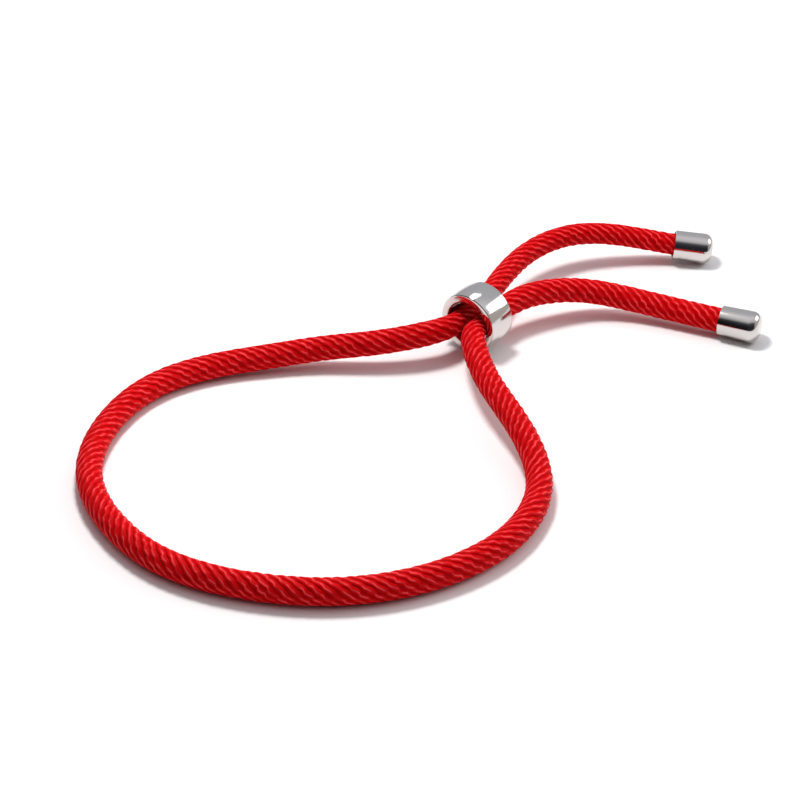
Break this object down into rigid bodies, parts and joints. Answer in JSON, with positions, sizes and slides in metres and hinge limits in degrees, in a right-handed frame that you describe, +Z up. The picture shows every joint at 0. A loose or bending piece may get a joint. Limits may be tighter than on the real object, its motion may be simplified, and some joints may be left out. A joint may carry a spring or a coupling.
{
  "type": "string bracelet",
  "caption": "Twisted cord bent into a loop, both ends drawn side by side through a polished metal ring that slides to size the loop; each free end is closed by a small metal cap.",
  "frame": {"origin": "middle of the bracelet's outline seen from above, on the surface it lies on", "axes": "+Z up from the surface; +X towards the free ends, along the longest extent; +Y across, from the front of the loop towards the far tail"},
  "size_m": [0.0769, 0.0701, 0.0076],
  "materials": {
    "cord": "twisted nylon, soft sheen",
    "steel": "mirror polished steel"
  },
  "bodies": {
    "root": {"cord": "cord", "slider": "steel", "end_cap_far": "steel", "end_cap_near": "steel"}
  },
  "joints": []
}
